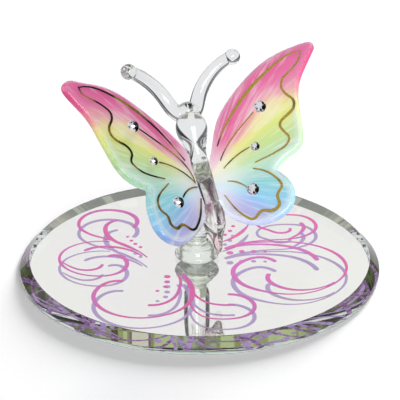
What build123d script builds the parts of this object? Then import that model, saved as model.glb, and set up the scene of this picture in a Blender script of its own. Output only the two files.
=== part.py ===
"""Glass butterfly ornament on a round mirror with a bevelled rim.

The frame: Z up, the origin under the middle of the mirror, +Y towards the head and
+X towards the butterfly's right-hand wing as the photograph shows it. Millimetres.
The butterfly is lampworked clear glass: it leans head up and back on a clear post,
its painted wings stand in a shallow V, and its foot is glued to the mirror.
"""
from build123d import *
import os
from math import cos, radians, sin

os.makedirs("parts", exist_ok=True)

# Mirror
mirror_dia = 95.0
glass_thick = 3.9
bevel_wide = 2.6
bevel_drop = 2.8
seam_chamfer = 0.3
silver_thick = 0.1
backing_thick = 0.1
backing_inset = 0.3

# Printed scrollwork on the mirror's face
print_rise = 0.08
print_clear_of_foot = 0.3
scroll_broad = 1.25
scroll_fine = 0.4
dot_dia = 1.7

# Foot and post, one piece of clear glass
foot_glue_thick = 0.15
foot_glue_dia = 9.0
foot_aside = -0.5
foot_behind_waist = 0.2
foot_dia = 11.7
foot_rim_rise = 0.7
foot_height = 5.2
neck_dia = 5.2
post_dia = 6.8
post_swell_rise = 9.0
post_shoulder_under_top = 8.5
post_top_dia = 4.6
post_under_waist = 2.45

# Body: thorax, abdomen and the drop that ends it, each on its own slant
waist_back = 0.55
waist_above_mirror = 28.1
thorax_slant = 48.8
thorax_length = 12.6
thorax_dia = 8.3
waist_dia = 4.7
shoulder_dia = 6.2
abdomen_slant = 39.3
abdomen_length = 13.1
abdomen_end_dia = 4.2
tail_slant = 62.2
tail_length = 12.9
tail_dia = 6.0
tail_tip_dia = 0.7

# Head and antennae
head_dia = 5.4
head_lift = 0.9
antenna_root_dia = 4.3
antenna_dia = 3.4
antenna_ball_dia = 4.3
antenna_reach = 14.4
antenna_run_back = 6.2
antenna_rise = 11.9

# Wings
wing_reach = 40.0
wing_thick = 2.4
wing_edge_round_share = 0.022
wing_dihedral = 26.5
wing_slant = 35.3
wing_root_before_waist = 0.8
wing_root_under_waist = 3.55
gold_rise = 0.15
gold_broad = 0.85
gold_fine = 0.3

# Crystals
crystal_large_dia = 3.2
crystal_small_dia = 2.4
crystal_sides = 12
crystal_girdle_share = 0.12
crystal_height_share = 0.4
crystal_table_share = 0.55

# Outlines of the wings, as shares of wing_reach: outwards, then towards the head.
# Each wing is shaped by hand, so the two differ a little.
left_forewing_shares = (
    (0.025, 0.05), (0.14, 0.25), (0.27, 0.37), (0.44, 0.50), (0.63, 0.585), (0.84, 0.60),
    (0.925, 0.598), (0.976, 0.558), (0.92, 0.43), (0.83, 0.30), (0.79, 0.17), (0.75, 0.04),
    (0.70, -0.07), (0.61, -0.145), (0.51, -0.175),
)
left_hindwing_shares = (
    (0.51, -0.175), (0.55, -0.28), (0.56, -0.41), (0.515, -0.53), (0.39, -0.58),
    (0.23, -0.505), (0.11, -0.395), (0.025, -0.25),
)
right_forewing_shares = (
    (0.025, -0.02), (0.13, 0.15), (0.21, 0.31), (0.34, 0.44), (0.49, 0.54), (0.68, 0.615), (0.84, 0.63),
    (0.925, 0.627), (0.962, 0.615), (0.976, 0.585), (0.96, 0.555), (0.89, 0.475), (0.80, 0.35),
    (0.755, 0.18), (0.735, 0.05), (0.69, -0.07), (0.60, -0.11), (0.49, -0.174),
)
right_hindwing_shares = (
    (0.49, -0.174), (0.545, -0.26), (0.56, -0.36), (0.515, -0.455), (0.385, -0.51),
    (0.25, -0.492), (0.14, -0.416), (0.025, -0.25),
)

# Gold lines, as shares of wing_reach, each with its widths from start to end as shares
# of gold_broad
left_gold_shares = (
    (((0.13, 0.07), (0.21, 0.19), (0.30, 0.30), (0.42, 0.41), (0.57, 0.50), (0.71, 0.55), (0.81, 0.555),
      (0.865, 0.54)), (0.3, 1.0, 0.35)),
    (((0.868, 0.545), (0.84, 0.485), (0.76, 0.45), (0.69, 0.41), (0.656, 0.37), (0.664, 0.32), (0.70, 0.27),
      (0.715, 0.22), (0.69, 0.17), (0.60, 0.12), (0.58, 0.067), (0.605, 0.01), (0.57, -0.04), (0.49, -0.077),
      (0.36, -0.095)), (0.4, 0.9, 0.4)),
    (((0.34, -0.13), (0.435, -0.21), (0.486, -0.30), (0.472, -0.35), (0.434, -0.385), (0.43, -0.44),
      (0.39, -0.472), (0.325, -0.437), (0.26, -0.468), (0.187, -0.416), (0.13, -0.32), (0.093, -0.22)),
     (0.4, 1.0, 0.5)),
    (((0.10, -0.10), (0.123, 0.003), (0.20, 0.10), (0.335, 0.20), (0.446, 0.274)), (0.3, 0.45, 0.45)),
    (((0.10, -0.10), (0.16, -0.04), (0.26, 0.01), (0.36, 0.03)), (0.3, 0.45, 0.45)),
    (((0.094, -0.13), (0.18, -0.16), (0.245, -0.22)), (0.4, 0.6, 0.5)),
)
right_gold_shares = (
    (((0.17, 0.13), (0.245, 0.23), (0.364, 0.345), (0.54, 0.47), (0.69, 0.54), (0.82, 0.575), (0.878, 0.565)),
     (0.3, 1.1, 0.4)),
    (((0.883, 0.57), (0.842, 0.503), (0.77, 0.454), (0.711, 0.42), (0.69, 0.37), (0.709, 0.30), (0.737, 0.25),
      (0.73, 0.205), (0.676, 0.164), (0.605, 0.117), (0.615, 0.06), (0.635, 0), (0.605, -0.038),
      (0.55, -0.057), (0.465, -0.071), (0.374, -0.08)), (0.4, 0.9, 0.3)),
    (((0.35, -0.117), (0.42, -0.165), (0.475, -0.24), (0.49, -0.31), (0.448, -0.355), (0.44, -0.425),
      (0.378, -0.448), (0.315, -0.425), (0.254, -0.458), (0.207, -0.424), (0.147, -0.316), (0.116, -0.226)),
     (0.4, 1.1, 0.3)),
    (((0.16, 0.023), (0.24, 0.112), (0.33, 0.182), (0.461, 0.266)), (0.3, 0.45, 0.45)),
    (((0.166, -0.04), (0.274, 0.015), (0.365, 0.038)), (0.3, 0.45, 0.45)),
    (((0.166, -0.138), (0.236, -0.182), (0.272, -0.227)), (0.3, 0.5, 0.4)),
)

# Middles of the crystals on each wing, as shares of wing_reach: upper, middle, lower
left_crystal_shares = ((0.495, 0.287), (0.409, 0.032), (0.305, -0.269))
right_crystal_shares = ((0.517, 0.286), (0.406, 0.028), (0.307, -0.259))

# Scrolls, as shares of the mirror's radius, each with its widths from start to end as
# shares of scroll_broad: five at the back left, four in front, three on the right, three
# at the back right
scroll_shares = (
    (((-0.278, 0.095), (-0.30, 0.185), (-0.35, 0.295), (-0.415, 0.38), (-0.49, 0.475), (-0.515, 0.57),
      (-0.465, 0.68), (-0.35, 0.733), (-0.233, 0.69), (-0.18, 0.595), (-0.19, 0.52), (-0.223, 0.475)),
     (0.35, 0.35, 0.5, 0.7, 0.75, 0.85, 1.0, 0.95)),
    (((-0.292, 0.583), (-0.35, 0.56), (-0.393, 0.475), (-0.393, 0.38), (-0.35, 0.27), (-0.30, 0.175)),
     (0.7, 0.9, 1.1, 0.9, 0.5, 0.3)),
    (((-0.573, 0.287), (-0.50, 0.303), (-0.405, 0.27), (-0.34, 0.207), (-0.30, 0.12)), (0.8, 0.8, 0.7, 0.4)),
    (((-0.414, 0.346), (-0.54, 0.378), (-0.658, 0.345), (-0.739, 0.248), (-0.75, 0.14), (-0.702, 0.033),
      (-0.617, -0.03), (-0.522, -0.045), (-0.437, 0.003), (-0.40, 0.10), (-0.415, 0.16), (-0.468, 0.178)),
     (0.3, 0.35, 0.4, 0.55, 0.65, 0.45, 0.45, 0.6, 0.9, 1.0, 0.8)),
    (((-0.543, 0.084), (-0.596, 0.05), (-0.659, 0.06), (-0.712, 0.12), (-0.739, 0.183)), (0.7, 0.7, 0.5, 0.35)),
    (((-0.502, -0.133), (-0.565, -0.123), (-0.65, -0.17), (-0.71, -0.267), (-0.714, -0.396), (-0.652, -0.514),
      (-0.546, -0.584), (-0.42, -0.598), (-0.293, -0.554), (-0.207, -0.457), (-0.164, -0.328),
      (-0.157, -0.178)), (0.8, 0.85, 0.95, 0.9, 0.65, 0.5, 0.5, 0.7, 1.1, 1.2, 0.9)),
    (((-0.451, -0.459), (-0.377, -0.465), (-0.292, -0.415), (-0.228, -0.318), (-0.191, -0.22),
      (-0.189, -0.168)), (0.8, 0.7, 0.7, 0.7, 0.45)),
    (((-0.175, -0.35), (-0.176, -0.436), (-0.144, -0.532), (-0.081, -0.585), (-0.018, -0.606)),
     (0.5, 0.6, 0.6, 0.75)),
    (((-0.207, -0.457), (-0.24, -0.608), (-0.209, -0.693), (-0.125, -0.746), (-0.019, -0.756), (0.055, -0.713),
      (0.092, -0.627), (0.073, -0.542), (0.004, -0.482)), (0.5, 0.45, 0.4, 0.45, 0.7, 0.9, 0.9, 0.85)),
    (((0.176, 0.05), (0.282, 0.071), (0.409, 0.051), (0.536, 0.008), (0.641, -0.066), (0.714, -0.173),
      (0.741, -0.302), (0.713, -0.42), (0.638, -0.517), (0.532, -0.582), (0.415, -0.608), (0.299, -0.583),
      (0.194, -0.509), (0.121, -0.413), (0.10, -0.305), (0.132, -0.198), (0.207, -0.133), (0.292, -0.111),
      (0.376, -0.186)),
     (0.9, 0.5, 0.45, 0.45, 0.6, 0.8, 0.6, 0.45, 0.35, 0.35, 0.5, 0.9, 1.1, 1.0, 0.9, 0.9)),
    (((0.176, 0.045), (0.303, 0.05), (0.43, 0.008), (0.535, -0.067), (0.588, -0.152), (0.604, -0.244)),
     (0.6, 0.6, 0.8, 1.0, 1.1)),
    (((0.286, -0.332), (0.264, -0.40), (0.30, -0.497), (0.373, -0.557), (0.479, -0.576), (0.596, -0.538)),
     (1.0, 1.0, 0.7, 0.4, 0.35)),
    (((0.187, 0.135), (0.283, 0.18), (0.357, 0.244), (0.389, 0.282)), (0.35, 0.8, 0.9, 0.3)),
    (((0.176, 0.052), (0.303, 0.08), (0.43, 0.068), (0.557, 0.041), (0.652, 0.052), (0.727, 0.106),
      (0.753, 0.192), (0.717, 0.289), (0.644, 0.331), (0.538, 0.348), (0.459, 0.311), (0.44, 0.244),
      (0.473, 0.191), (0.515, 0.135), (0.568, 0.127), (0.596, 0.159)),
     (0.6, 0.5, 0.4, 0.4, 0.6, 0.8, 0.7, 0.5, 0.5, 0.6, 0.7, 0.7)),
    (((0.679, 0.203), (0.674, 0.149), (0.621, 0.084), (0.546, 0.044)), (0.8, 0.9, 0.6, 0.4)),
)

# Rows of dots beside the scrolls: place as shares of the mirror's radius, then the
# dot's share of dot_dia
dot_shares = (
    (-0.248, -0.168, 1.0), (-0.27, -0.228, 0.9), (-0.297, -0.28, 0.8), (-0.355, -0.312, 0.6),
    (0.176, -0.01, 1.1), (0.244, -0.015, 0.9), (0.307, -0.036, 0.8), (0.366, -0.061, 0.6),
    (-0.298, 0.368, 0.5), (-0.294, 0.315, 0.6), (-0.286, 0.27, 0.65), (-0.271, 0.223, 0.6),
    (0.224, 0.211, 0.7), (0.268, 0.247, 0.7), (0.305, 0.297, 0.65),
)

mirror_top = backing_thick + silver_thick + glass_thick
waist_height = mirror_top + waist_above_mirror
foot_base = mirror_top + foot_glue_thick
foot_back = waist_back + foot_behind_waist
post_height = waist_height - post_under_waist - foot_base
pieces = []


def keep(part, name):
    """Label a finished piece and write it out."""
    part.label = name
    export_step(part, f"parts/{name}.step")
    pieces.append(name)


def slanted(back, height, angle, way):
    """A plane down the body's middle: Y runs up or down a slanted axis, X away from the post."""
    lift = radians(angle)
    return Plane(origin=(0, back, height), x_dir=(0, -sin(lift), cos(lift)), z_dir=(-way, 0, 0))


def path_outline(shares, reach, width_shares, broad, fine):
    """The two sides and the end tips of a painted line whose width changes along it."""
    centre = Spline(*[(reach * x, reach * y) for x, y in shares])
    steps = 3 * len(shares)
    left, right, tips = [], [], []
    for i in range(steps + 1):
        u = i / steps
        spot, along = centre @ u, centre % u
        place = u * (len(width_shares) - 1)
        before = min(int(place), len(width_shares) - 2)
        share = width_shares[before] + (width_shares[before + 1] - width_shares[before]) * (place - before)
        half = max(broad * share, fine) / 2
        left.append((spot.X - along.Y * half, spot.Y + along.X * half))
        right.append((spot.X + along.Y * half, spot.Y - along.X * half))
        if i in (0, steps):
            way = half if i else -half
            tips.append((spot.X + along.X * way, spot.Y + along.Y * way))
    return left, right, tips


# Mirror: bevelled glass disc, silver behind it and the paint that guards the silver
radius = mirror_dia / 2
backing_radius = radius - backing_inset
silver_top = backing_thick + silver_thick

with BuildPart() as mirror_backing:
    with BuildSketch():
        Circle(backing_radius)
    extrude(amount=backing_thick)

with BuildPart() as mirror_silvering:
    with BuildSketch(Plane.XY.offset(backing_thick)):
        Circle(backing_radius)
    extrude(amount=silver_thick)

with BuildPart() as mirror_glass:
    with BuildSketch(Plane.XZ):
        with BuildLine():
            Polyline(
                (0, silver_top),
                (radius - seam_chamfer, silver_top),
                (radius, silver_top + seam_chamfer),
                (radius, mirror_top - bevel_drop),
                (radius - bevel_wide, mirror_top),
                (0, mirror_top),
                close=True,
            )
        make_face()
    revolve(axis=Axis.Z)

keep(mirror_backing.part, "mirror_backing")
keep(mirror_silvering.part, "mirror_silvering")
keep(mirror_glass.part, "mirror_glass")

# Scrollwork printed on the face of the glass
scroll_outlines = [
    path_outline(shares, radius, widths, scroll_broad, scroll_fine) for shares, widths in scroll_shares
]

with BuildPart() as scroll_print:
    with BuildSketch(Plane.XY.offset(mirror_top)):
        for left, right, tips in scroll_outlines:
            with BuildLine():
                one_side = Spline(*left)
                other_side = Spline(*right)
                ThreePointArc(one_side @ 0, tips[0], other_side @ 0)
                ThreePointArc(one_side @ 1, tips[1], other_side @ 1)
            make_face()
        for across, back, share in dot_shares:
            with Locations((radius * across, radius * back)):
                Circle(dot_dia * share / 2)
        with Locations((foot_aside, foot_back)):
            Circle(foot_dia / 2 + print_clear_of_foot, mode=Mode.SUBTRACT)
    extrude(amount=print_rise)

keep(scroll_print.part, "scroll_print")

# Body, from the waist up and from the waist down
thorax_plane = slanted(waist_back, waist_height, thorax_slant, 1)
abdomen_plane = slanted(waist_back, waist_height, abdomen_slant, -1)
abdomen_end = abdomen_plane.from_local_coords(Vector(0, abdomen_length, 0))
tail_plane = slanted(abdomen_end.Y, abdomen_end.Z, tail_slant, -1)
waist_round = waist_dia / 2

thorax_stations = (
    (waist_round, 0),
    (thorax_dia * 0.43, thorax_length * 0.46),
    (thorax_dia / 2, thorax_length * 0.74),
    (shoulder_dia / 2, thorax_length * 0.95),
    (0, thorax_length),
)
abdomen_stations = (
    (waist_round, -waist_round),
    (waist_round, abdomen_length / 2),
    (abdomen_end_dia / 2, abdomen_length),
)
tail_stations = (
    (tail_dia * 0.47, tail_length * 0.12),
    (tail_dia / 2, tail_length * 0.27),
    (tail_dia * 0.47, tail_length * 0.44),
    (tail_dia * 0.24, tail_length * 0.72),
    (tail_tip_dia / 2, tail_length * 0.98),
    (0, tail_length),
)

with BuildPart() as thorax:
    with BuildSketch(thorax_plane):
        with BuildLine():
            side = Spline(*thorax_stations)
            Polyline(side @ 1, (0, 0), side @ 0)
        make_face()
    revolve(axis=Axis(thorax_plane.origin, thorax_plane.y_dir))

with BuildPart() as tail_drop:
    with BuildSketch(tail_plane):
        with BuildLine():
            crown = ThreePointArc(
                (0, -tail_dia * 0.25), (tail_dia * 0.33, -tail_dia * 0.06), tail_stations[0]
            )
            side = Spline(*tail_stations)
            Line(side @ 1, crown @ 0)
        make_face()
    revolve(axis=Axis(tail_plane.origin, tail_plane.y_dir))

with BuildPart() as abdomen:
    with BuildSketch(abdomen_plane):
        with BuildLine():
            side = Spline(*abdomen_stations)
            Polyline(side @ 1, (0, abdomen_length), (0, -waist_round), side @ 0)
        make_face()
    revolve(axis=Axis(abdomen_plane.origin, abdomen_plane.y_dir))
    split(bisect_by=Plane(thorax_plane.origin, z_dir=thorax_plane.y_dir), keep=Keep.BOTTOM)
    add(tail_drop.part, mode=Mode.SUBTRACT)

body_pieces = (thorax.part, abdomen.part, tail_drop.part)

# Head and the two antennae that grow from it
head_spot = thorax_plane.from_local_coords(Vector(0, thorax_length + head_lift, 0))

with BuildPart() as head:
    with Locations(head_spot):
        Sphere(head_dia / 2)
    add(thorax.part, mode=Mode.SUBTRACT)


antenna_across_shares = (0.09, 0.20, 0.31, 0.46, 0.64, 1)
antenna_back_shares = (0.05, 0.38, 0.74, 0.98, 1.12, 1)
antenna_rise_shares = (0, 0.03, 0.21, 0.47, 0.69, 1)
antenna_start = thorax_plane.from_local_coords(Vector(0, thorax_length, 0))
antenna_points = [
    (antenna_reach * x, antenna_start.Y + antenna_run_back * y, antenna_start.Z + antenna_rise * z)
    for x, y, z in zip(antenna_across_shares, antenna_back_shares, antenna_rise_shares)
]

with BuildPart() as antenna_right:
    with BuildLine():
        stem = Spline(*antenna_points)
    for share, dia in ((0, antenna_root_dia), (1, antenna_dia)):
        with BuildSketch(Plane(stem @ share, z_dir=stem % share)):
            Circle(dia / 2)
    sweep(path=stem, multisection=True)
    with Locations(stem @ 1):
        Sphere(antenna_ball_dia / 2)
    add((thorax.part, head.part), mode=Mode.SUBTRACT)

with BuildPart() as antenna_left:
    mirror(antenna_right.part, about=Plane.YZ)


def wing_plane(side):
    """The middle plane of a wing: X outwards, Y along its root towards the head."""
    lift, slant = radians(wing_dihedral), radians(wing_slant)
    up = Vector(-side * sin(lift), -cos(lift) * sin(slant), cos(lift) * cos(slant))
    along = Vector(0, cos(slant), sin(slant))
    return Plane(
        origin=(0, waist_back - wing_root_before_waist, waist_height - wing_root_under_waist),
        x_dir=along.cross(up) * side,
        z_dir=up * side,
    )


def wing(side, forewing_shares, hindwing_shares):
    """A painted glass wing: forewing and hindwing in one sheet with rounded edges."""
    sheet = wing_plane(side)
    with BuildPart() as glass:
        with BuildSketch(sheet):
            with BuildLine():
                fore = Spline(*[(wing_reach * x, wing_reach * y) for x, y in forewing_shares])
                hind = Spline(*[(wing_reach * x, wing_reach * y) for x, y in hindwing_shares])
                Line(hind @ 1, fore @ 0)
            make_face()
        extrude(amount=wing_thick / 2, both=True)
        faces = glass.faces().sort_by(Axis(sheet.origin, sheet.z_dir))
        fillet(faces[0].edges() + faces[-1].edges(), wing_reach * wing_edge_round_share)
        add(body_pieces, mode=Mode.SUBTRACT)
    return glass.part


def gold_lines(side, gold_shares):
    """Raised gold enamel: the loops inside the wing's edge and the veins."""
    face = wing_plane(side).offset(side * wing_thick / 2)
    outlines = [
        path_outline(shares, wing_reach, widths, gold_broad, gold_fine) for shares, widths in gold_shares
    ]
    with BuildPart() as enamel:
        with BuildSketch(face):
            for left, right, tips in outlines:
                with BuildLine():
                    one_side = Spline(*left)
                    other_side = Spline(*right)
                    ThreePointArc(one_side @ 0, tips[0], other_side @ 0)
                    ThreePointArc(one_side @ 1, tips[1], other_side @ 1)
                make_face()
        extrude(amount=side * gold_rise)
        add(body_pieces, mode=Mode.SUBTRACT)
    return enamel.part


def crystal(side, place, dia):
    """A flat-backed cut crystal, glued to the wing's upper face."""
    sheet = wing_plane(side)
    across, along = place
    spot = sheet.from_local_coords(Vector(wing_reach * across, wing_reach * along, side * wing_thick / 2))
    seat = Plane(origin=spot, x_dir=sheet.y_dir, z_dir=sheet.z_dir * side)
    with BuildPart() as stone:
        with BuildSketch(seat):
            RegularPolygon(dia / 2, crystal_sides)
        girdle = extrude(amount=dia * crystal_girdle_share)
        with BuildSketch(seat.offset(dia * crystal_girdle_share)) as low:
            RegularPolygon(dia / 2, crystal_sides)
        with BuildSketch(seat.offset(dia * crystal_height_share)) as high:
            RegularPolygon(dia * crystal_table_share / 2, crystal_sides)
        loft(sections=[low.sketch, high.sketch])
    return stone.part


keep(thorax.part, "thorax")
keep(abdomen.part, "abdomen")
keep(tail_drop.part, "tail_drop")
keep(head.part, "head")
keep(antenna_left.part, "antenna_left")
keep(antenna_right.part, "antenna_right")

wings = []
for side, name, fore_shares, hind_shares, gold_shares, crystal_shares in (
    (-1, "left", left_forewing_shares, left_hindwing_shares, left_gold_shares, left_crystal_shares),
    (1, "right", right_forewing_shares, right_hindwing_shares, right_gold_shares, right_crystal_shares),
):
    wings.append(wing(side, fore_shares, hind_shares))
    keep(wings[-1], f"wing_{name}")
    keep(gold_lines(side, gold_shares), f"gold_lines_{name}")
    sizes = (crystal_large_dia, crystal_small_dia, crystal_large_dia)
    for place, dia, spot_name in zip(crystal_shares, sizes, ("upper", "middle", "lower")):
        keep(crystal(side, place, dia), f"crystal_{name}_{spot_name}")

# Foot and post: a flared foot, a neck, and a rod that carries the body and the wings
with BuildPart() as foot_glue:
    with BuildSketch(Plane.XY.offset(mirror_top)):
        with Locations((foot_aside, foot_back)):
            Circle(foot_glue_dia / 2)
    extrude(amount=foot_glue_thick)

with BuildPart() as post:
    with BuildSketch(Plane(origin=(foot_aside, foot_back, foot_base), x_dir=(1, 0, 0), z_dir=(0, -1, 0))):
        with BuildLine():
            rim = ThreePointArc(
                (foot_glue_dia / 2, 0), (foot_dia / 2, foot_rim_rise), (foot_dia * 0.44, foot_height * 0.38)
            )
            flank = Spline(
                rim @ 1,
                (foot_dia * 0.36, foot_height * 0.65),
                (neck_dia * 0.56, foot_height * 0.93),
                (neck_dia / 2, foot_height * 1.06),
                (post_dia * 0.46, foot_height * 1.35),
                (post_dia / 2, post_swell_rise),
                (post_dia / 2, post_height - post_shoulder_under_top),
                (post_top_dia / 2, post_height),
            )
            Polyline(flank @ 1, (0, post_height), (0, 0), rim @ 0)
        make_face()
    revolve(axis=Axis((foot_aside, foot_back, foot_base), (0, 0, 1)))
    add((*body_pieces, *wings), mode=Mode.SUBTRACT)

keep(foot_glue.part, "foot_glue")
keep(post.part, "post")

print(len(pieces), "pieces:", ", ".join(pieces))
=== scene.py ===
"""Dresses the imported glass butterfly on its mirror: fire-polished glass, painted wings,
gold lines, cut crystals and printed scrolls, on a pale floor in soft studio light."""
from math import cos, pi, radians, sin

import bmesh
import bpy
from bpy.props import FloatProperty, FloatVectorProperty, IntProperty, PointerProperty
from mathutils import Matrix, Vector
from mathutils.kdtree import KDTree


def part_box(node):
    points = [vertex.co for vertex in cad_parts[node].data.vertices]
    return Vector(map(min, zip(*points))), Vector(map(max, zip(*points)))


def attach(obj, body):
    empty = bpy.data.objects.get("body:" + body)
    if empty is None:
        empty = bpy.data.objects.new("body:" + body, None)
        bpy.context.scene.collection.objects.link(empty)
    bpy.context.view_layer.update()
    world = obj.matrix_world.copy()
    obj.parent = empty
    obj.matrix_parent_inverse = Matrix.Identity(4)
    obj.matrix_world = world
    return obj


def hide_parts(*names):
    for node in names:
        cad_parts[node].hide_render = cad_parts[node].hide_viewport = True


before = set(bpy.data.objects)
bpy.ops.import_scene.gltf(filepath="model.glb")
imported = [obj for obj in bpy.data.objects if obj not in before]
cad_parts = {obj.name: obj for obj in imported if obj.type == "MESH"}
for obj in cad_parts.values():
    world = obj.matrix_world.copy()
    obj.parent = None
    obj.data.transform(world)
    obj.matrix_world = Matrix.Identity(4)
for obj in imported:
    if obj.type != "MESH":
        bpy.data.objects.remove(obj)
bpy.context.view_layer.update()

bl_info = {
    "name": "Glass Butterfly Ornament",
    "version": (1, 0, 0),
    "blender": (4, 5, 0),
    "location": "3D View > Sidebar > Butterfly",
    "description": "Dresses the packed glass butterfly on its round mirror",
    "category": "Object",
}

MM = 0.001
HAIR = 0.001 * MM
WHITE = (1.0, 1.0, 1.0, 1.0)

# The wings' middle planes, as the solids have them
WING_ORIGIN = Vector((0, -0.25, 28.65)) * MM
WING_DIHEDRAL = radians(26.5)
WING_SLANT = radians(35.3)
WING_REACH = 40 * MM
WING_THICK = 2.4 * MM
WING_SOFTEN = 4
# A vertex is on a wing's edge when it is this near the middle plane and faces this little up
EDGE_BAND = 0.2 * MM
EDGE_LEAN = 0.4

FIGURE_NODES = ("thorax", "abdomen", "tail_drop", "head", "antenna_left", "antenna_right", "post")

# Each crystal's place on its wing, in shares of the reach: outwards, and towards the head
STONES = {
    "left": (("upper", 0.495, 0.287), ("middle", 0.409, 0.032), ("lower", 0.305, -0.269)),
    "right": (("upper", 0.517, 0.286), ("middle", 0.406, 0.028), ("lower", 0.307, -0.259)),
}
STONE_WIDE = {"upper": 3.2 * MM, "middle": 2.4 * MM, "lower": 3.2 * MM}
STONE_SIDES = 12
# Radius share, height share and turn in half facets of each ring, from the seat up
STONE_RINGS = ((1.0, 0.0, 0), (1.0, 0.12, 0), (0.84, 0.27, 1), (0.55, 0.4, 0))

# The mirror plate: its bevel, its ground lower corner, and how far it sinks in the silver
BEVEL_WIDE = 2.6 * MM
BEVEL_FOOT = 1.3 * MM
SEAM = 0.3 * MM
SUNK = 0.03 * MM

# The studio's level axis from the front of the set to its back
DEPTH_X, DEPTH_Y = 0.332, 0.943
FLOOR_RADIUS = 3.0
# The share of the world's strength that the floor and the paint don't get as light
WORLD_HELD_BACK = 0.8
# Name, place, width and height, and power of each lamp
LAMPS = (
    ("low_back_light", (1.2, 1.55, 0.56), (0.45, 0.7), 88.0),
    ("front_light", (-0.2, -1.7, 1.0), (1.2, 1.2), 24.0),
)
CAMERA_PLACE = (-0.37435, -1.06303, 0.57670)
CAMERA_AHEAD = (0.29798, 0.84591, -0.44232)
CAMERA_SENSOR, CAMERA_LENS = 36, 430.55
CAMERA_CLIP = (0.05, 20)


def colour(red, green, blue):
    """A colour written as it shows, 0 to 255, as the linear values that shaders take."""
    shares = [value / 255 for value in (red, green, blue)]
    return (*[s / 12.92 if s <= 0.04045 else ((s + 0.055) / 1.055) ** 2.4 for s in shares], 1.0)


def opaque(setting):
    """A colour setting with its alpha."""
    return tuple(setting) + (1.0,)


def new_material(name):
    """An empty node material and its tree."""
    made = bpy.data.materials.new(name)
    made.use_nodes = True
    made.node_tree.nodes.clear()
    return made, made.node_tree


def node(tree, kind, inputs=None, **settings):
    """A node with its settings, and each input set to a value or joined to a socket."""
    made = tree.nodes.new("ShaderNode" + kind)
    for name, value in settings.items():
        setattr(made, name, value)
    for key, value in (inputs or {}).items():
        if isinstance(value, bpy.types.NodeSocket):
            tree.links.new(value, made.inputs[key])
        else:
            made.inputs[key].default_value = value
    return made


def maths(tree, operation, *values):
    """The result of a Math node."""
    return node(tree, "Math", dict(enumerate(values)), operation=operation).outputs[0]


def times(tree, *values):
    """The product of two or more values."""
    product = values[0]
    for value in values[1:]:
        product = maths(tree, "MULTIPLY", product, value)
    return product


def span(tree, value, low, high, to_low=0.0, to_high=1.0):
    """A value eased from one range to another, clamped at both ends."""
    inputs = {
        "Value": value,
        "From Min": low,
        "From Max": high,
        "To Min": to_low,
        "To Max": to_high,
    }
    return node(tree, "MapRange", inputs, interpolation_type="SMOOTHSTEP").outputs[0]


def between(tree, value, rise, fall):
    """1 where a value is past one range and before another, easing to 0 across both."""
    return times(tree, span(tree, value, *rise), span(tree, value, *fall, 1.0, 0.0))


def blended(tree, factor, first, second):
    """Two colours mixed by a factor."""
    return node(tree, "Mix", {0: factor, 6: first, 7: second}, data_type="RGBA").outputs[2]


def ramp(tree, factor, stops, interpolation="LINEAR"):
    """A colour ramp with (place, colour) stops."""
    made = node(tree, "ValToRGB", {"Fac": factor})
    made.color_ramp.interpolation = interpolation
    elements = made.color_ramp.elements
    elements.remove(elements[1])
    elements[0].position, elements[0].color = stops[0]
    for place, stop in stops[1:]:
        elements.new(place).color = stop
    return made.outputs["Color"]


def noise(tree, place, scale, detail=2.0, roughness=0.5):
    """Noise at a place, from 0 to 1."""
    inputs = {"Vector": place, "Scale": scale, "Detail": detail, "Roughness": roughness}
    return node(tree, "TexNoise", inputs).outputs["Fac"]


def parts(tree, vector):
    """A vector's three parts."""
    return node(tree, "SeparateXYZ", {0: vector}).outputs


def joined(tree, first, second):
    """A vector of two parts."""
    return node(tree, "CombineXYZ", {0: first, 1: second}).outputs[0]


def depth_and_side(tree, x, y):
    """How far a place or direction goes to the back of the set, and to its right."""
    behind = maths(tree, "ADD", times(tree, x, DEPTH_X), times(tree, y, DEPTH_Y))
    beside = maths(tree, "SUBTRACT", times(tree, x, DEPTH_Y), times(tree, y, DEPTH_X))
    return behind, beside


def object_place(tree):
    """The place in the object's own frame, in metres."""
    return node(tree, "TexCoord").outputs["Object"]


def upward(tree):
    """How far a face points up, from -1 to 1."""
    return parts(tree, node(tree, "NewGeometry").outputs["True Normal"])[2]


def bumped(tree, strength, distance, height):
    """The normal that a height gives."""
    inputs = {"Strength": strength, "Distance": distance, "Height": height}
    return node(tree, "Bump", inputs).outputs[0]


def principled(tree, inputs):
    """A Principled shader."""
    return node(tree, "BsdfPrincipled", inputs).outputs[0]


def mixed(tree, factor, first, second):
    """Two shaders mixed by a factor."""
    return node(tree, "MixShader", {0: factor, 1: first, 2: second}).outputs[0]


def finish_material(tree, surface):
    """Joins a shader to the material's output."""
    node(tree, "OutputMaterial", {"Surface": surface})


def lamp_clear(tree, surface, tint):
    """Glass that lets lamps' rays through, so that what it covers is lit."""
    shadow = node(tree, "LightPath").outputs["Is Shadow Ray"]
    passed = node(tree, "BsdfTransparent", {"Color": tint}).outputs[0]
    return mixed(tree, shadow, surface, passed)


def out_of_mirror(tree, surface):
    """A surface that reflected rays pass, so that neither mirror nor glass reflects it."""
    bounced = maths(tree, "GREATER_THAN", node(tree, "LightPath").outputs["Glossy Depth"], 0.5)
    return mixed(tree, bounced, surface, node(tree, "BsdfTransparent").outputs[0])


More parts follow.
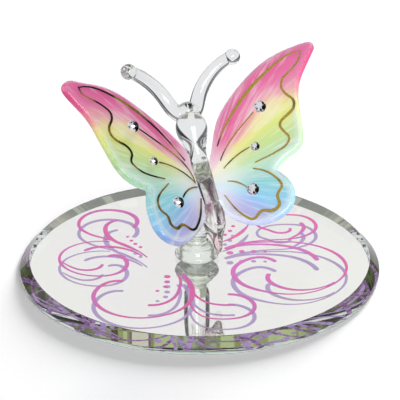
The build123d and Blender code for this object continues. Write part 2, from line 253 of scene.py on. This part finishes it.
def clear_glass_material(settings):
    """Fire-polished glass: faint waves and rings at the foot. The grey and plum streaks in the
    waist and the rosy tail drop are painted refractions of the wings and their surroundings.
    """
    made, tree = new_material("clear_glass")
    place = object_place(tree)
    across, along, height = parts(tree, place)
    waves = noise(tree, place, 320.0, 1.0)
    foot = span(tree, height, 10 * MM, 14 * MM, 1.0, 0.0)
    ring_every = 0.7 * MM
    rings = maths(tree, "SINE", times(tree, height, 2 * pi / ring_every))
    waved = maths(tree, "ADD", waves, times(tree, rings, foot, 0.5))

    tint = blended(tree, waves, opaque(settings.glass_tint), WHITE)
    tint = blended(tree, foot, tint, colour(240, 245, 238))
    lengthwise = times(tree, maths(tree, "ADD", along, height), 0.12)
    # Painted refraction: grey and plum streaks that stand in for the wings and the room seen
    # through the waist
    painted_refraction = ramp(
        tree,
        noise(tree, joined(tree, across, lengthwise), 700.0, 1.0),
        (
            (0.36, colour(255, 255, 255)),
            (0.42, colour(150, 150, 138)),
            (0.48, colour(232, 230, 226)),
            (0.54, colour(168, 124, 156)),
            (0.60, colour(132, 130, 120)),
            (0.66, colour(255, 255, 255)),
        ),
    )
    waist = between(tree, height, (19 * MM, 21 * MM), (30 * MM, 31 * MM))
    waist = times(tree, waist, span(tree, along, 1 * MM, 3 * MM, 0.75, 0.0))
    tint = blended(tree, waist, tint, painted_refraction)
    # Painted refraction: the tail drop is tinted rose for the pink seen through it
    at_tail = span(tree, along, -9 * MM, -7 * MM, 1.0, 0.0)
    drop = times(tree, at_tail, span(tree, height, 16 * MM, 19 * MM, 1.0, 0.0))
    tint = blended(tree, drop, tint, colour(253, 224, 231))
    inputs = {
        "Base Color": tint,
        "Roughness": span(tree, noise(tree, place, 900.0), 0.3, 0.8, 0.0, 0.03),
        "IOR": 1.5,
        "Transmission Weight": 1.0,
        "Normal": bumped(tree, settings.glass_waves, 0.2 * MM, waved),
    }
    finish_material(tree, lamp_clear(tree, principled(tree, inputs), (0.93, 0.94, 0.94, 1.0)))
    return made


def plate_glass_material():
    """The mirror's glass, tinted green on its upright edge."""
    made, tree = new_material("mirror_glass")
    specks = noise(tree, object_place(tree), 60.0, 3.0)
    tint = blended(tree, specks, colour(250, 252, 250), colour(255, 255, 255))
    upright = maths(tree, "LESS_THAN", maths(tree, "ABSOLUTE", upward(tree)), 0.3)
    inputs = {
        "Base Color": blended(tree, upright, tint, colour(206, 232, 214)),
        "Roughness": span(tree, specks, 0.3, 0.9, 0.0, 0.02),
        "IOR": 1.52,
        "Transmission Weight": 1.0,
    }
    finish_material(tree, principled(tree, inputs))
    return made


def silver_material():
    """Mirror silver, with the faintest cloudiness."""
    made, tree = new_material("silvering")
    cloud = noise(tree, object_place(tree), 25.0, 4.0)
    inputs = {
        "Base Color": blended(tree, cloud, colour(250, 250, 249), colour(255, 255, 254)),
        "Metallic": 1.0,
        "Roughness": span(tree, cloud, 0.2, 1.0, 0.0, 0.02),
    }
    finish_material(tree, principled(tree, inputs))
    return made


def backing_material():
    """Matt grey guard paint with a fine orange-peel surface."""
    made, tree = new_material("backing_paint")
    place = object_place(tree)
    grain = noise(tree, place, 1200.0, 3.0)
    cloud = noise(tree, place, 90.0, 3.0)
    inputs = {
        "Base Color": blended(tree, cloud, colour(84, 86, 90), colour(108, 110, 114)),
        "Roughness": span(tree, grain, 0.2, 0.8, 0.5, 0.75),
        "Normal": bumped(tree, 0.3, 0.05 * MM, grain),
    }
    finish_material(tree, principled(tree, inputs))
    return made


def scroll_ink_material(settings):
    """Printed enamel: pink that drifts to orchid. Its underside glows by itself in lavender
    instead of being lit, so the silver shows the print paler and bluer.
    """
    made, tree = new_material("scroll_ink")
    place = object_place(tree)
    drift = span(tree, noise(tree, place, 110.0, 2.0), 0.35, 0.65)
    face = blended(tree, drift, opaque(settings.ink_pink), opaque(settings.ink_orchid))
    fine = noise(tree, place, 2600.0, 3.0)
    face = blended(tree, span(tree, fine, 0.4, 0.8, 0.0, 0.18), face, colour(236, 150, 200))
    inputs = {
        "Base Color": face,
        "Roughness": span(tree, fine, 0.2, 0.8, 0.28, 0.45),
        "Normal": bumped(tree, 0.2, 0.02 * MM, fine),
    }
    ink = principled(tree, inputs)
    # Painted light: the ink's underside is a glow of its own, not lit by the lamps
    glow = {"Color": opaque(settings.ink_underside_glow), "Strength": 1.0}
    underside = node(tree, "Emission", glow).outputs[0]
    down = maths(tree, "LESS_THAN", upward(tree), -0.5)
    finish_material(tree, mixed(tree, down, ink, underside))
    return made


def glue_material():
    """Clear set adhesive, almost all see-through."""
    made, tree = new_material("clear_adhesive")
    cloud = noise(tree, object_place(tree), 700.0, 3.0)
    inputs = {
        "Base Color": blended(tree, cloud, colour(226, 230, 228), colour(240, 243, 241)),
        "Roughness": span(tree, cloud, 0.2, 0.8, 0.1, 0.3),
        "Alpha": 0.2,
    }
    finish_material(tree, principled(tree, inputs))
    return made


def wing_paint(tree, rim):
    """The rainbow, fanned out from the wing's root, with brush streaks and a pale root, which is
    paint and also a painted highlight for the glare along the body.
    """
    flat = parts(tree, node(tree, "UVMap", uv_map="wing").outputs[0])
    outwards, along = flat[0], maths(tree, "ADD", flat[1], 0.1)
    angle = maths(tree, "ARCTAN2", along, outwards)
    squares = maths(tree, "ADD", times(tree, outwards, outwards), times(tree, along, along))
    reach = maths(tree, "SQRT", squares)
    streak_place = joined(tree, times(tree, angle, 4.5), times(tree, reach, 0.6))
    streaks = noise(tree, streak_place, 4.0, 4.0, 0.65)
    clouds = noise(tree, joined(tree, angle, reach), 3.5, 2.0)
    drift = times(tree, maths(tree, "SUBTRACT", clouds, 0.5), 0.22)
    curl = span(tree, reach, 0.6, 1.1, 0.0, 0.24)
    fan = maths(tree, "ADD", maths(tree, "ADD", angle, drift), curl)
    turn = {"Value": fan, "From Min": radians(-75), "From Max": radians(65)}
    paint = ramp(
        tree,
        node(tree, "MapRange", turn).outputs[0],
        (
            (0.07, colour(202, 190, 234)),
            (0.18, colour(182, 178, 230)),
            (0.25, colour(154, 194, 244)),
            (0.30, colour(138, 212, 246)),
            (0.39, colour(136, 218, 222)),
            (0.46, colour(172, 222, 214)),
            (0.54, colour(192, 232, 204)),
            (0.60, colour(196, 228, 166)),
            (0.65, colour(206, 230, 142)),
            (0.71, colour(226, 236, 132)),
            (0.745, colour(238, 238, 138)),
            (0.78, colour(240, 222, 150)),
            (0.81, colour(238, 170, 176)),
            (0.845, colour(236, 116, 174)),
            (0.89, colour(232, 84, 158)),
            (0.94, colour(226, 92, 160)),
            (1.00, colour(238, 132, 186)),
        ),
    )
    # Pale paint at the root, which also serves as a painted highlight for the glare beside the
    # body
    pale_root_and_glare = span(tree, reach, 0.12, 0.42, 0.72, 0.0)
    wash = maths(tree, "ADD", times(tree, span(tree, streaks, 0.46, 0.68), 0.5), 0.08)
    paint = blended(tree, maths(tree, "MAXIMUM", pale_root_and_glare, wash), paint, colour(252, 248, 250))
    near_rim = span(tree, rim, 0.35, 1.0, 0.6, 0.0)
    pale_edge = times(tree, near_rim, span(tree, fan, 0.35, 0.75, 1.0, 0.1))
    return blended(tree, pale_edge, paint, colour(236, 248, 246)), streaks


def painted_glass_material():
    """Glossy paint that lets a little light through, and bare glass along the rim."""
    made, tree = new_material("painted_glass")
    rim = node(tree, "Attribute", attribute_name="rim").outputs["Fac"]
    paint, streaks = wing_paint(tree, rim)
    body_inputs = {
        "Base Color": paint,
        "Roughness": span(tree, streaks, 0.3, 0.8, 0.12, 0.24),
        "IOR": 1.5,
        "Coat Weight": 0.4,
        "Coat Roughness": 0.04,
        "Normal": bumped(tree, 0.25, 0.1 * MM, streaks),
    }
    bare_inputs = {
        "Base Color": blended(tree, 0.45, paint, WHITE),
        "Roughness": 0.03,
        "IOR": 1.5,
        "Transmission Weight": 1.0,
    }
    through = node(tree, "BsdfTranslucent", {"Color": paint}).outputs[0]
    body = mixed(tree, 0.15, principled(tree, body_inputs), through)
    painted_share = span(tree, rim, 0.05, 0.5)
    surface = mixed(tree, painted_share, principled(tree, bare_inputs), body)
    finish_material(tree, out_of_mirror(tree, lamp_clear(tree, surface, (0.93, 0.92, 0.93, 1.0))))
    return made


def gold_material(settings):
    """Burnished gold enamel. Its gold and nearly black patches are painted reflections, and
    painted light makes it lighter to the right, so the left wing's lines are darker.
    """
    made, tree = new_material("gold_enamel")
    place = object_place(tree)
    # Painted light: the lines are lighter gold towards the right and darker on the left wing
    painted_side_light = span(tree, parts(tree, place)[0], -5 * MM, 5 * MM, 0.0, 0.14)
    painted_reflection_patches = maths(tree, "ADD", noise(tree, place, 130.0, 2.0), painted_side_light)
    painted_reflection_patches = span(tree, painted_reflection_patches, 0.42, 0.6)
    fine = noise(tree, place, 3000.0, 3.0)
    dark, light = opaque(settings.gold_dark_reflection), opaque(settings.gold_light)
    inputs = {
        "Base Color": blended(tree, painted_reflection_patches, dark, light),
        "Metallic": 1.0,
        "Roughness": span(tree, fine, 0.2, 0.8, 0.2, 0.42),
        "Normal": bumped(tree, 0.5, 0.05 * MM, fine),
    }
    finish_material(tree, out_of_mirror(tree, principled(tree, inputs)))
    return made


def crystal_material():
    """Painted reflections: each facet is silvery or dark by the way it faces, with a trace of
    blue and rose, and facets facing right are shaded darker, so the left wing's crystals are
    darker.
    """
    made, tree = new_material("crystal")
    sparkle = noise(tree, object_place(tree), 900.0, 2.0)
    turned = node(tree, "TexCoord").outputs["Normal"]
    # Painted shade: facets that face to the right are darker
    to_right = span(tree, parts(tree, turned)[0], -0.4, 0.3, -0.1, 0.24)
    painted_facet_shade = maths(tree, "SUBTRACT", noise(tree, turned, 5.0, 0.0), to_right)
    painted_facet_shade = maths(tree, "MULTIPLY_ADD", sparkle, 0.1, maths(tree, "SUBTRACT", painted_facet_shade, 0.05))
    painted_facet_colour = ramp(
        tree,
        painted_facet_shade,
        (
            (0.40, colour(36, 30, 34)),
            (0.44, colour(205, 208, 214)),
            (0.54, colour(244, 246, 250)),
            (0.68, colour(250, 240, 246)),
        ),
    )
    inputs = {
        "Base Color": painted_facet_colour,
        "Metallic": 1.0,
        "Roughness": span(tree, sparkle, 0.2, 0.8, 0.02, 0.1),
    }
    finish_material(tree, out_of_mirror(tree, principled(tree, inputs)))
    return made


def floor_material():
    """Matt white paper that shows as white with its shadow.

    Bent and mirrored rays see it pale round the ornament, grey to its left and nearly black
    to its right."""
    made, tree = new_material("white_paper")
    place = object_place(tree)
    grain = noise(tree, place, 900.0, 3.0)
    white = blended(tree, grain, colour(243, 243, 244), colour(248, 248, 249))
    paper = node(tree, "BsdfDiffuse", {"Color": white}).outputs[0]
    path = node(tree, "LightPath").outputs
    bent = maths(tree, "MAXIMUM", path["Is Glossy Ray"], path["Is Transmission Ray"])
    seen = maths(tree, "MAXIMUM", path["Is Camera Ray"], bent)
    away = node(tree, "VectorMath", {0: place}, operation="LENGTH").outputs["Value"]
    shine = times(tree, seen, span(tree, away, 0.12, 0.6, 0.06, 0.4))
    glow = node(tree, "Emission", {"Color": WHITE, "Strength": shine}).outputs[0]
    lit = node(tree, "AddShader", {0: paper, 1: glow}).outputs[0]

    x, y, _ = parts(tree, place)
    _, aside = depth_and_side(tree, x, y)
    left = span(tree, aside, -0.11, -0.08, 1.0, 0.0)
    shown = blended(tree, left, colour(232, 233, 234), colour(90, 92, 96))
    shown = blended(tree, span(tree, aside, 0.06, 0.09), shown, colour(18, 18, 20))
    bent_view = node(tree, "Emission", {"Color": shown, "Strength": 1.0}).outputs[0]
    finish_material(tree, mixed(tree, bent, lit, bent_view))
    return made


def mesh_object(name, mesh, material, replaced):
    """A finished piece on the ornament, which stands for solids of the frame."""
    piece = bpy.data.objects.new(name, mesh)
    bpy.context.scene.collection.objects.link(piece)
    mesh.materials.clear()
    mesh.materials.append(material)
    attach(piece, "root")
    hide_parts(*replaced)
    return piece


def node_copy(names):
    """The merged meshes of some nodes, in one bmesh."""
    bm = bmesh.new()
    for name in names:
        bm.from_mesh(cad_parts[name].data)
    bmesh.ops.remove_doubles(bm, verts=bm.verts, dist=HAIR / 2)
    return bm


def flowed(bm, name, voxel, rounds):
    """A mesh remade as one even skin, its edges and joints softened as by a flame."""
    rough = bpy.data.meshes.new(name + "_rough")
    bm.to_mesh(rough)
    bm.free()
    holder = bpy.data.objects.new(name + "_rough", rough)
    bpy.context.scene.collection.objects.link(holder)
    remesh = holder.modifiers.new("skin", "REMESH")
    remesh.mode = "VOXEL"
    remesh.voxel_size = voxel
    remesh.use_smooth_shade = True
    view = bpy.context.evaluated_depsgraph_get()
    skin = bpy.data.meshes.new_from_object(holder.evaluated_get(view))
    bpy.data.objects.remove(holder)
    bpy.data.meshes.remove(rough)
    bm = bmesh.new()
    bm.from_mesh(skin)
    bpy.data.meshes.remove(skin)
    every_way = {"use_axis_x": True, "use_axis_y": True, "use_axis_z": True}
    for _ in range(rounds):
        bmesh.ops.smooth_vert(bm, verts=bm.verts, factor=0.5, **every_way)
    return bm


def smooth_mesh(bm, name):
    """A mesh from a bmesh, shaded smooth."""
    mesh = bpy.data.meshes.new(name)
    bm.to_mesh(mesh)
    bm.free()
    mesh.shade_smooth()
    return mesh


def wing_frame(side):
    """A wing's axes: outwards, along the root towards the head, and up from its face."""
    lean, slant = cos(WING_DIHEDRAL), WING_SLANT
    up = Vector((-side * sin(WING_DIHEDRAL), -lean * sin(slant), lean * cos(slant)))
    along = Vector((0, cos(slant), sin(slant)))
    outwards = along.cross(up)
    return outwards if outwards.x * side > 0 else -outwards, along, up


def wing_place(vert, outwards, along):
    """A vertex's place on its wing's middle plane, from the root."""
    from_root = vert.co - WING_ORIGIN
    return from_root.dot(outwards), from_root.dot(along), 0


def paint_nodes(names, material):
    """Gives nodes that stay as they are their finish."""
    for name in names:
        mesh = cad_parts[name].data
        mesh.materials.clear()
        mesh.materials.append(material)


class ButterflyGlassSettings(bpy.types.PropertyGroup):
    """Clear glass of the figure and the post"""

    skin: FloatProperty(
        name="Skin",
        description="Grid size of the fused glass skin",
        default=0.2 * MM,
        unit="LENGTH",
        precision=5,
    )
    soften: IntProperty(
        name="Soften", description="Rounds of flame softening", default=6, min=0
    )
    glass_tint: FloatVectorProperty(
        name="Tint",
        description="Glass colour in depth",
        default=(0.965, 0.975, 0.972),
        subtype="COLOR",
    )
    glass_waves: FloatProperty(
        name="Waves", description="Strength of the flame's waves", default=0.12, min=0.0
    )


class ButterflyWingSettings(bpy.types.PropertyGroup):
    """Painted wings, gold lines and crystals"""

    skin: FloatProperty(
        name="Skin",
        description="Grid size of a wing's skin",
        default=0.3 * MM,
        unit="LENGTH",
        precision=5,
    )
    rim: FloatProperty(
        name="Pale rim",
        description="Width over which the paint thins out",
        default=2.6 * MM,
        unit="LENGTH",
        precision=5,
    )
    # The dark patches are painted reflections of dark surroundings on the gold
    gold_dark_reflection: FloatVectorProperty(
        name="Gold, dark",
        description="Dark patches of the gold enamel",
        default=(0.035, 0.028, 0.012),
        subtype="COLOR",
    )
    gold_light: FloatVectorProperty(
        name="Gold, light",
        description="Light patches of the gold enamel",
        default=(0.52, 0.36, 0.08),
        subtype="COLOR",
    )


class ButterflyMirrorSettings(bpy.types.PropertyGroup):
    """Mirror plate and its print"""

    segments: IntProperty(
        name="Segments", description="Sides of the round plate", default=256, min=32
    )
    edge: FloatProperty(
        name="Edge",
        description="Softening of the plate's ground edges",
        default=0.1 * MM,
        unit="LENGTH",
        precision=5,
    )
    ink_pink: FloatVectorProperty(
        name="Pink ink",
        description="Main colour of the print",
        default=colour(207, 86, 151)[:3],
        subtype="COLOR",
    )
    ink_orchid: FloatVectorProperty(
        name="Orchid ink",
        description="Colour the print drifts to",
        default=colour(190, 96, 170)[:3],
        subtype="COLOR",
    )
    # The lavender that the print's underside glows with by itself, for the mirror to show
    ink_underside_glow: FloatVectorProperty(
        name="Ink from below",
        description="The print as the mirror shows it",
        default=colour(172, 150, 200)[:3],
        subtype="COLOR",
    )


class BUTTERFLY_OT_mirror(bpy.types.Operator):
    """Make the bevelled mirror plate and finish its silver and backing"""

    bl_idname = "butterfly.mirror"
    bl_label = "Mirror Plate"

    def execute(self, context):
        settings = context.scene.butterfly_mirror
        low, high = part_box("mirror_glass")
        radius = high.x
        profile = (
            (0, low.z - SUNK),
            (radius - SEAM, low.z - SUNK),
            (radius, low.z + SEAM),
            (radius, BEVEL_FOOT),
            (radius - BEVEL_WIDE, high.z),
            (0, high.z),
        )
        bm = bmesh.new()
        verts = [bm.verts.new((x, 0, z)) for x, z in profile]
        edges = [bm.edges.new(pair) for pair in zip(verts, verts[1:])]
        bmesh.ops.spin(
            bm,
            geom=verts + edges,
            cent=(0, 0, 0),
            axis=(0, 0, 1),
            angle=2 * pi,
            steps=settings.segments,
            use_merge=True,
        )
        bmesh.ops.remove_doubles(bm, verts=bm.verts, dist=HAIR)
        bmesh.ops.recalc_face_normals(bm, faces=bm.faces)
        rings = [
            e
            for e in bm.edges
            if abs(e.verts[0].co.z - e.verts[1].co.z) < HAIR
            and e.is_manifold
            and e.calc_face_angle() > radians(20)
        ]
        bmesh.ops.bevel(
            bm,
            geom=rings,
            offset=settings.edge,
            segments=2,
            profile=0.5,
            affect="EDGES",
            material=-1,
        )
        mesh = smooth_mesh(bm, "mirror_plate")
        mesh.set_sharp_from_angle(angle=radians(5))
        glass = plate_glass_material()
        mesh_object("mirror_plate", mesh, glass, ["mirror_glass"])
        paint_nodes(["mirror_silvering"], silver_material())
        paint_nodes(["mirror_backing"], backing_material())
        return {"FINISHED"}


class BUTTERFLY_OT_print(bpy.types.Operator):
    """Finish the scrolls printed on the mirror, and the glue under the foot"""

    bl_idname = "butterfly.print"
    bl_label = "Scroll Print"

    def execute(self, context):
        paint_nodes(["scroll_print"], scroll_ink_material(context.scene.butterfly_mirror))
        paint_nodes(["foot_glue"], glue_material())
        return {"FINISHED"}


class BUTTERFLY_OT_figure(bpy.types.Operator):
    """Make the clear figure: body, head, antennae, post and foot, fused in the flame"""

    bl_idname = "butterfly.figure"
    bl_label = "Clear Glass Figure"

    def execute(self, context):
        settings = context.scene.butterfly_glass
        bm = flowed(node_copy(FIGURE_NODES), "glass_figure", settings.skin, settings.soften)
        mesh = smooth_mesh(bm, "glass_figure")
        glass = clear_glass_material(settings)
        mesh_object("glass_figure", mesh, glass, FIGURE_NODES)
        return {"FINISHED"}


class BUTTERFLY_OT_wings(bpy.types.Operator):
    """Make both painted glass wings, with a soft bare rim"""

    bl_idname = "butterfly.wings"
    bl_label = "Painted Wings"

    def execute(self, context):
        settings = context.scene.butterfly_wings
        material = painted_glass_material()
        for side, name in ((-1, "left"), (1, "right")):
            piece_name = f"painted_wing_{name}"
            outwards, along, up = wing_frame(side)
            bm = flowed(node_copy([f"wing_{name}"]), piece_name, settings.skin, WING_SOFTEN)
            bm.normal_update()
            edge = [
                v
                for v in bm.verts
                if abs((v.co - WING_ORIGIN).dot(up)) < EDGE_BAND
                and abs(v.normal.dot(up)) < EDGE_LEAN
            ]
            tree = KDTree(len(edge))
            for index, v in enumerate(edge):
                tree.insert(wing_place(v, outwards, along), index)
            tree.balance()
            uv = bm.loops.layers.uv.new("wing")
            rim = bm.verts.layers.float.new("rim")
            for v in bm.verts:
                place = wing_place(v, outwards, along)
                v[rim] = min(tree.find(place)[2] / settings.rim, 1.0)
                for loop in v.link_loops:
                    loop[uv].uv = (place[0] / WING_REACH, place[1] / WING_REACH)
            mesh = smooth_mesh(bm, piece_name)
            mesh_object(piece_name, mesh, material, [f"wing_{name}"])
        return {"FINISHED"}


class BUTTERFLY_OT_gold(bpy.types.Operator):
    """Finish the raised gold lines on the wings"""

    bl_idname = "butterfly.gold"
    bl_label = "Gold Lines"

    def execute(self, context):
        lines = ["gold_lines_left", "gold_lines_right"]
        paint_nodes(lines, gold_material(context.scene.butterfly_wings))
        return {"FINISHED"}


def cut_crystal(name, seat, wide, along, up):
    """The mesh of a round crystal: a girdle, two rows of facets and a flat table."""
    turn = Matrix((along, up.cross(along), up)).transposed().to_4x4()
    bm = bmesh.new()
    loops = []
    for share, rise, half in STONE_RINGS:
        lift = Matrix.Translation(seat + up * wide * rise)
        matrix = lift @ turn @ Matrix.Rotation(half * pi / STONE_SIDES, 4, "Z")
        radius = wide / 2 * share
        made = bmesh.ops.create_circle(bm, segments=STONE_SIDES, radius=radius, matrix=matrix)
        loops.append(list({e for v in made["verts"] for e in v.link_edges}))
    for low, high in zip(loops, loops[1:]):
        bmesh.ops.bridge_loops(bm, edges=low + high)
    bmesh.ops.holes_fill(bm, edges=loops[0])
    bmesh.ops.holes_fill(bm, edges=loops[-1])
    bmesh.ops.recalc_face_normals(bm, faces=bm.faces)
    bmesh.ops.triangulate(bm, faces=[f for f in bm.faces if len(f.verts) == 4])
    mesh = bpy.data.meshes.new(name)
    bm.to_mesh(mesh)
    bm.free()
    return mesh


class BUTTERFLY_OT_crystals(bpy.types.Operator):
    """Make the six cut crystals on the wings"""

    bl_idname = "butterfly.crystals"
    bl_label = "Crystals"

    def execute(self, context):
        material = crystal_material()
        for side, name in ((-1, "left"), (1, "right")):
            outwards, along, up = wing_frame(side)
            for spot, x, y in STONES[name]:
                on_plane = WING_ORIGIN + outwards * WING_REACH * x + along * WING_REACH * y
                seat = on_plane + up * WING_THICK / 2
                piece_name = f"cut_crystal_{name}_{spot}"
                mesh = cut_crystal(piece_name, seat, STONE_WIDE[spot], along, up)
                mesh_object(piece_name, mesh, material, [f"crystal_{name}_{spot}"])
        return {"FINISHED"}


def room_walls(tree, behind, beside, height, mirrored):
    """The pale room, streaked high up, with a slate band that the mirrored figure misses."""
    streaks = noise(tree, joined(tree, beside, height), 16.0, 2.0)
    aslant = maths(tree, "ABSOLUTE", beside)
    to_back = span(tree, behind, -0.2, 0.3)
    room = blended(tree, to_back, colour(222, 224, 225), colour(246, 245, 245))
    upper = times(tree, span(tree, height, 0.5, 0.58), span(tree, behind, 0.2, 0.4))
    upper = times(tree, upper, span(tree, aslant, 0.14, 0.2))
    light_streaks = ramp(
        tree,
        streaks,
        (
            (0.38, colour(96, 104, 98)),
            (0.44, colour(176, 178, 168)),
            (0.50, colour(112, 118, 104)),
            (0.55, colour(204, 198, 172)),
            (0.60, colour(104, 112, 106)),
            (0.66, colour(150, 158, 146)),
        ),
    )
    room = blended(tree, upper, room, light_streaks)
    band = between(tree, height, (0.70, 0.76), (0.92, 0.96))
    band = times(tree, band, span(tree, behind, -0.1, 0.1))
    band = times(tree, band, maths(tree, "SUBTRACT", 1.0, mirrored))
    outer = span(tree, aslant, 0.08, 0.16)
    slate = blended(tree, outer, colour(82, 88, 92), colour(112, 118, 108))
    slate = blended(tree, span(tree, streaks, 0.56, 0.62), slate, colour(158, 166, 154))
    return blended(tree, band, room, slate)


def room_cards(tree, room, behind, beside, height, in_mirror, through):
    """The room with dark cards beside it, which outline the clear figure and the rim's ends.

    The mirror's face misses them in the photograph's view. From 30 or 300 degrees round it
    reflects them and turns dark."""
    figure = maths(tree, "MAXIMUM", maths(tree, "SUBTRACT", 1.0, in_mirror), through)
    aslant = maths(tree, "ABSOLUTE", beside)
    for_rim = span(tree, aslant, 0.70, 0.78, 1.0, 0.0)
    for_rim = times(tree, span(tree, behind, 0.3, 0.42), for_rim)
    carded = maths(tree, "MAXIMUM", figure, for_rim)
    low_part = span(tree, maths(tree, "ABSOLUTE", height), 0.5, 0.7, 1.0, 0.0)
    low_part = times(tree, carded, low_part)
    leftward = maths(tree, "MULTIPLY_ADD", in_mirror, -0.15, beside)
    left_card = times(tree, span(tree, leftward, -0.72, -0.6, 1.0, 0.0), low_part)
    right_card = times(tree, span(tree, beside, 0.45, 0.6), low_part)
    left_grey = blended(tree, in_mirror, colour(184, 186, 188), colour(20, 20, 22))
    room = blended(tree, left_card, room, left_grey)
    room = blended(tree, right_card, room, colour(22, 22, 24))

    skirting_share = between(tree, height, (0.0, 0.04), (0.14, 0.2))
    skirting_share = times(tree, skirting_share, span(tree, behind, 0.3, 0.5), figure)
    to_right = span(tree, beside, -0.1, 0.1)
    skirting = blended(tree, to_right, colour(22, 22, 24), colour(110, 112, 114))
    skirting = blended(tree, in_mirror, skirting, colour(186, 190, 184))
    return blended(tree, skirting_share, room, skirting)


def bevel_patches(tree, direction, beside):
    """Olive, plum and brown patches, which the bevel shows after many reflections: painted
    reflections that stand in for the wings' colours.
    """
    painted_reflection_patches = ramp(
        tree,
        noise(tree, direction, 8.0, 2.0),
        (
            (0.0, colour(44, 34, 26)),
            (0.36, colour(78, 66, 46)),
            (0.41, colour(150, 164, 104)),
            (0.47, colour(184, 198, 150)),
            (0.53, colour(134, 150, 90)),
            (0.57, colour(120, 92, 124)),
            (0.61, colour(216, 214, 200)),
            (0.66, colour(52, 46, 30)),
        ),
        "CONSTANT",
    )
    outer = span(tree, maths(tree, "ABSOLUTE", beside), 0.25, 0.45, 0.0, 0.75)
    return blended(tree, outer, painted_reflection_patches, colour(40, 44, 36))


def studio_world():
    """White for the camera, a little light, and a streaked room for glass and silver.

    What glass and silver see also depends on how often the ray was reflected and bent."""
    world = bpy.data.worlds.new("studio")
    world.use_nodes = True
    tree = world.node_tree
    tree.nodes.clear()
    path = node(tree, "LightPath").outputs
    direction = node(tree, "TexCoord").outputs["Generated"]
    x, y, height = parts(tree, direction)
    behind, beside = depth_and_side(tree, x, y)
    in_mirror = maths(tree, "GREATER_THAN", path["Glossy Depth"], 0.5)
    through = maths(tree, "GREATER_THAN", path["Transmission Depth"], 2.5)
    room = room_walls(tree, behind, beside, height, times(tree, in_mirror, through))
    room = room_cards(tree, room, behind, beside, height, in_mirror, through)
    deep = maths(tree, "GREATER_THAN", path["Glossy Depth"], 2.5)
    deep = times(tree, deep, span(tree, behind, -0.1, 0.2))
    room = blended(tree, deep, room, bevel_patches(tree, direction, beside))
    plain = maths(tree, "MAXIMUM", path["Is Camera Ray"], path["Is Diffuse Ray"])
    strength = maths(tree, "SUBTRACT", 1.0, times(tree, path["Is Diffuse Ray"], WORLD_HELD_BACK))
    sky = {"Color": blended(tree, plain, room, WHITE), "Strength": strength}
    node(tree, "OutputWorld", {"Surface": node(tree, "Background", sky).outputs[0]})
    return world


def set_floor(scene):
    """Puts the round paper floor under the ornament."""
    bm = bmesh.new()
    bmesh.ops.create_circle(bm, cap_ends=True, segments=96, radius=FLOOR_RADIUS)
    mesh = bpy.data.meshes.new("floor")
    bm.to_mesh(mesh)
    bm.free()
    mesh.materials.append(floor_material())
    floor = bpy.data.objects.new("floor", mesh)
    scene.collection.objects.link(floor)


def set_lamps(scene):
    """Puts up the lamps, turned to the mirror's centre and not seen through the glass."""
    for name, place, size, power in LAMPS:
        data = bpy.data.lights.new(name, "AREA")
        data.shape = "RECTANGLE"
        data.size, data.size_y = size
        data.energy = power
        lamp = bpy.data.objects.new(name, data)
        lamp.location = place
        lamp.rotation_euler = (-Vector(place)).to_track_quat("-Z", "Y").to_euler()
        lamp.visible_transmission = False
        lamp.visible_glossy = name == "front_light"
        scene.collection.objects.link(lamp)


def set_camera(scene):
    """Puts up the camera at the photograph's viewing angle."""
    data = bpy.data.cameras.new("camera")
    data.sensor_width, data.lens = CAMERA_SENSOR, CAMERA_LENS
    data.clip_start, data.clip_end = CAMERA_CLIP
    camera = bpy.data.objects.new("camera", data)
    camera.location = CAMERA_PLACE
    camera.rotation_euler = Vector(CAMERA_AHEAD).to_track_quat("-Z", "Y").to_euler()
    scene.collection.objects.link(camera)
    scene.camera = camera


class BUTTERFLY_OT_stage(bpy.types.Operator):
    """Set the pale floor, the studio light and the camera"""

    bl_idname = "butterfly.stage"
    bl_label = "Stage"

    def execute(self, context):
        scene = context.scene
        set_floor(scene)
        scene.world = studio_world()
        set_lamps(scene)
        set_camera(scene)
        scene.view_settings.view_transform = "Standard"
        scene.cycles.max_bounces = 24
        scene.cycles.glossy_bounces = 16
        scene.cycles.transmission_bounces = 24
        return {"FINISHED"}


class BUTTERFLY_PT_panel(bpy.types.Panel):
    """Shows the ornament's settings and a button for each step"""

    bl_label = "Glass Butterfly"
    bl_idname = "BUTTERFLY_PT_panel"
    bl_space_type = "VIEW_3D"
    bl_region_type = "UI"
    bl_category = "Butterfly"

    def draw(self, context):
        for group in SETTINGS:
            box = self.layout.box()
            settings = getattr(context.scene, group)
            for name in settings.__annotations__:
                box.prop(settings, name)
        for step in STEPS:
            self.layout.operator(step.bl_idname)


STEPS = (
    BUTTERFLY_OT_mirror,
    BUTTERFLY_OT_print,
    BUTTERFLY_OT_figure,
    BUTTERFLY_OT_wings,
    BUTTERFLY_OT_gold,
    BUTTERFLY_OT_crystals,
    BUTTERFLY_OT_stage,
)
SETTINGS = {
    "butterfly_glass": ButterflyGlassSettings,
    "butterfly_wings": ButterflyWingSettings,
    "butterfly_mirror": ButterflyMirrorSettings,
}
CLASSES = (*SETTINGS.values(), *STEPS, BUTTERFLY_PT_panel)


def register():
    """Registers the classes and puts the settings on the scene."""
    for item in CLASSES:
        bpy.utils.register_class(item)
    for name, group in SETTINGS.items():
        setattr(bpy.types.Scene, name, PointerProperty(type=group))


def unregister():
    """Takes the settings and the classes away again."""
    for name in SETTINGS:
        delattr(bpy.types.Scene, name)
    for item in reversed(CLASSES):
        bpy.utils.unregister_class(item)


def main():
    """Registers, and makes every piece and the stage."""
    register()
    bpy.ops.butterfly.mirror()
    bpy.ops.butterfly.print()
    bpy.ops.butterfly.figure()
    bpy.ops.butterfly.wings()
    bpy.ops.butterfly.gold()
    bpy.ops.butterfly.crystals()
    bpy.ops.butterfly.stage()


if __name__ == "__main__":
    main()
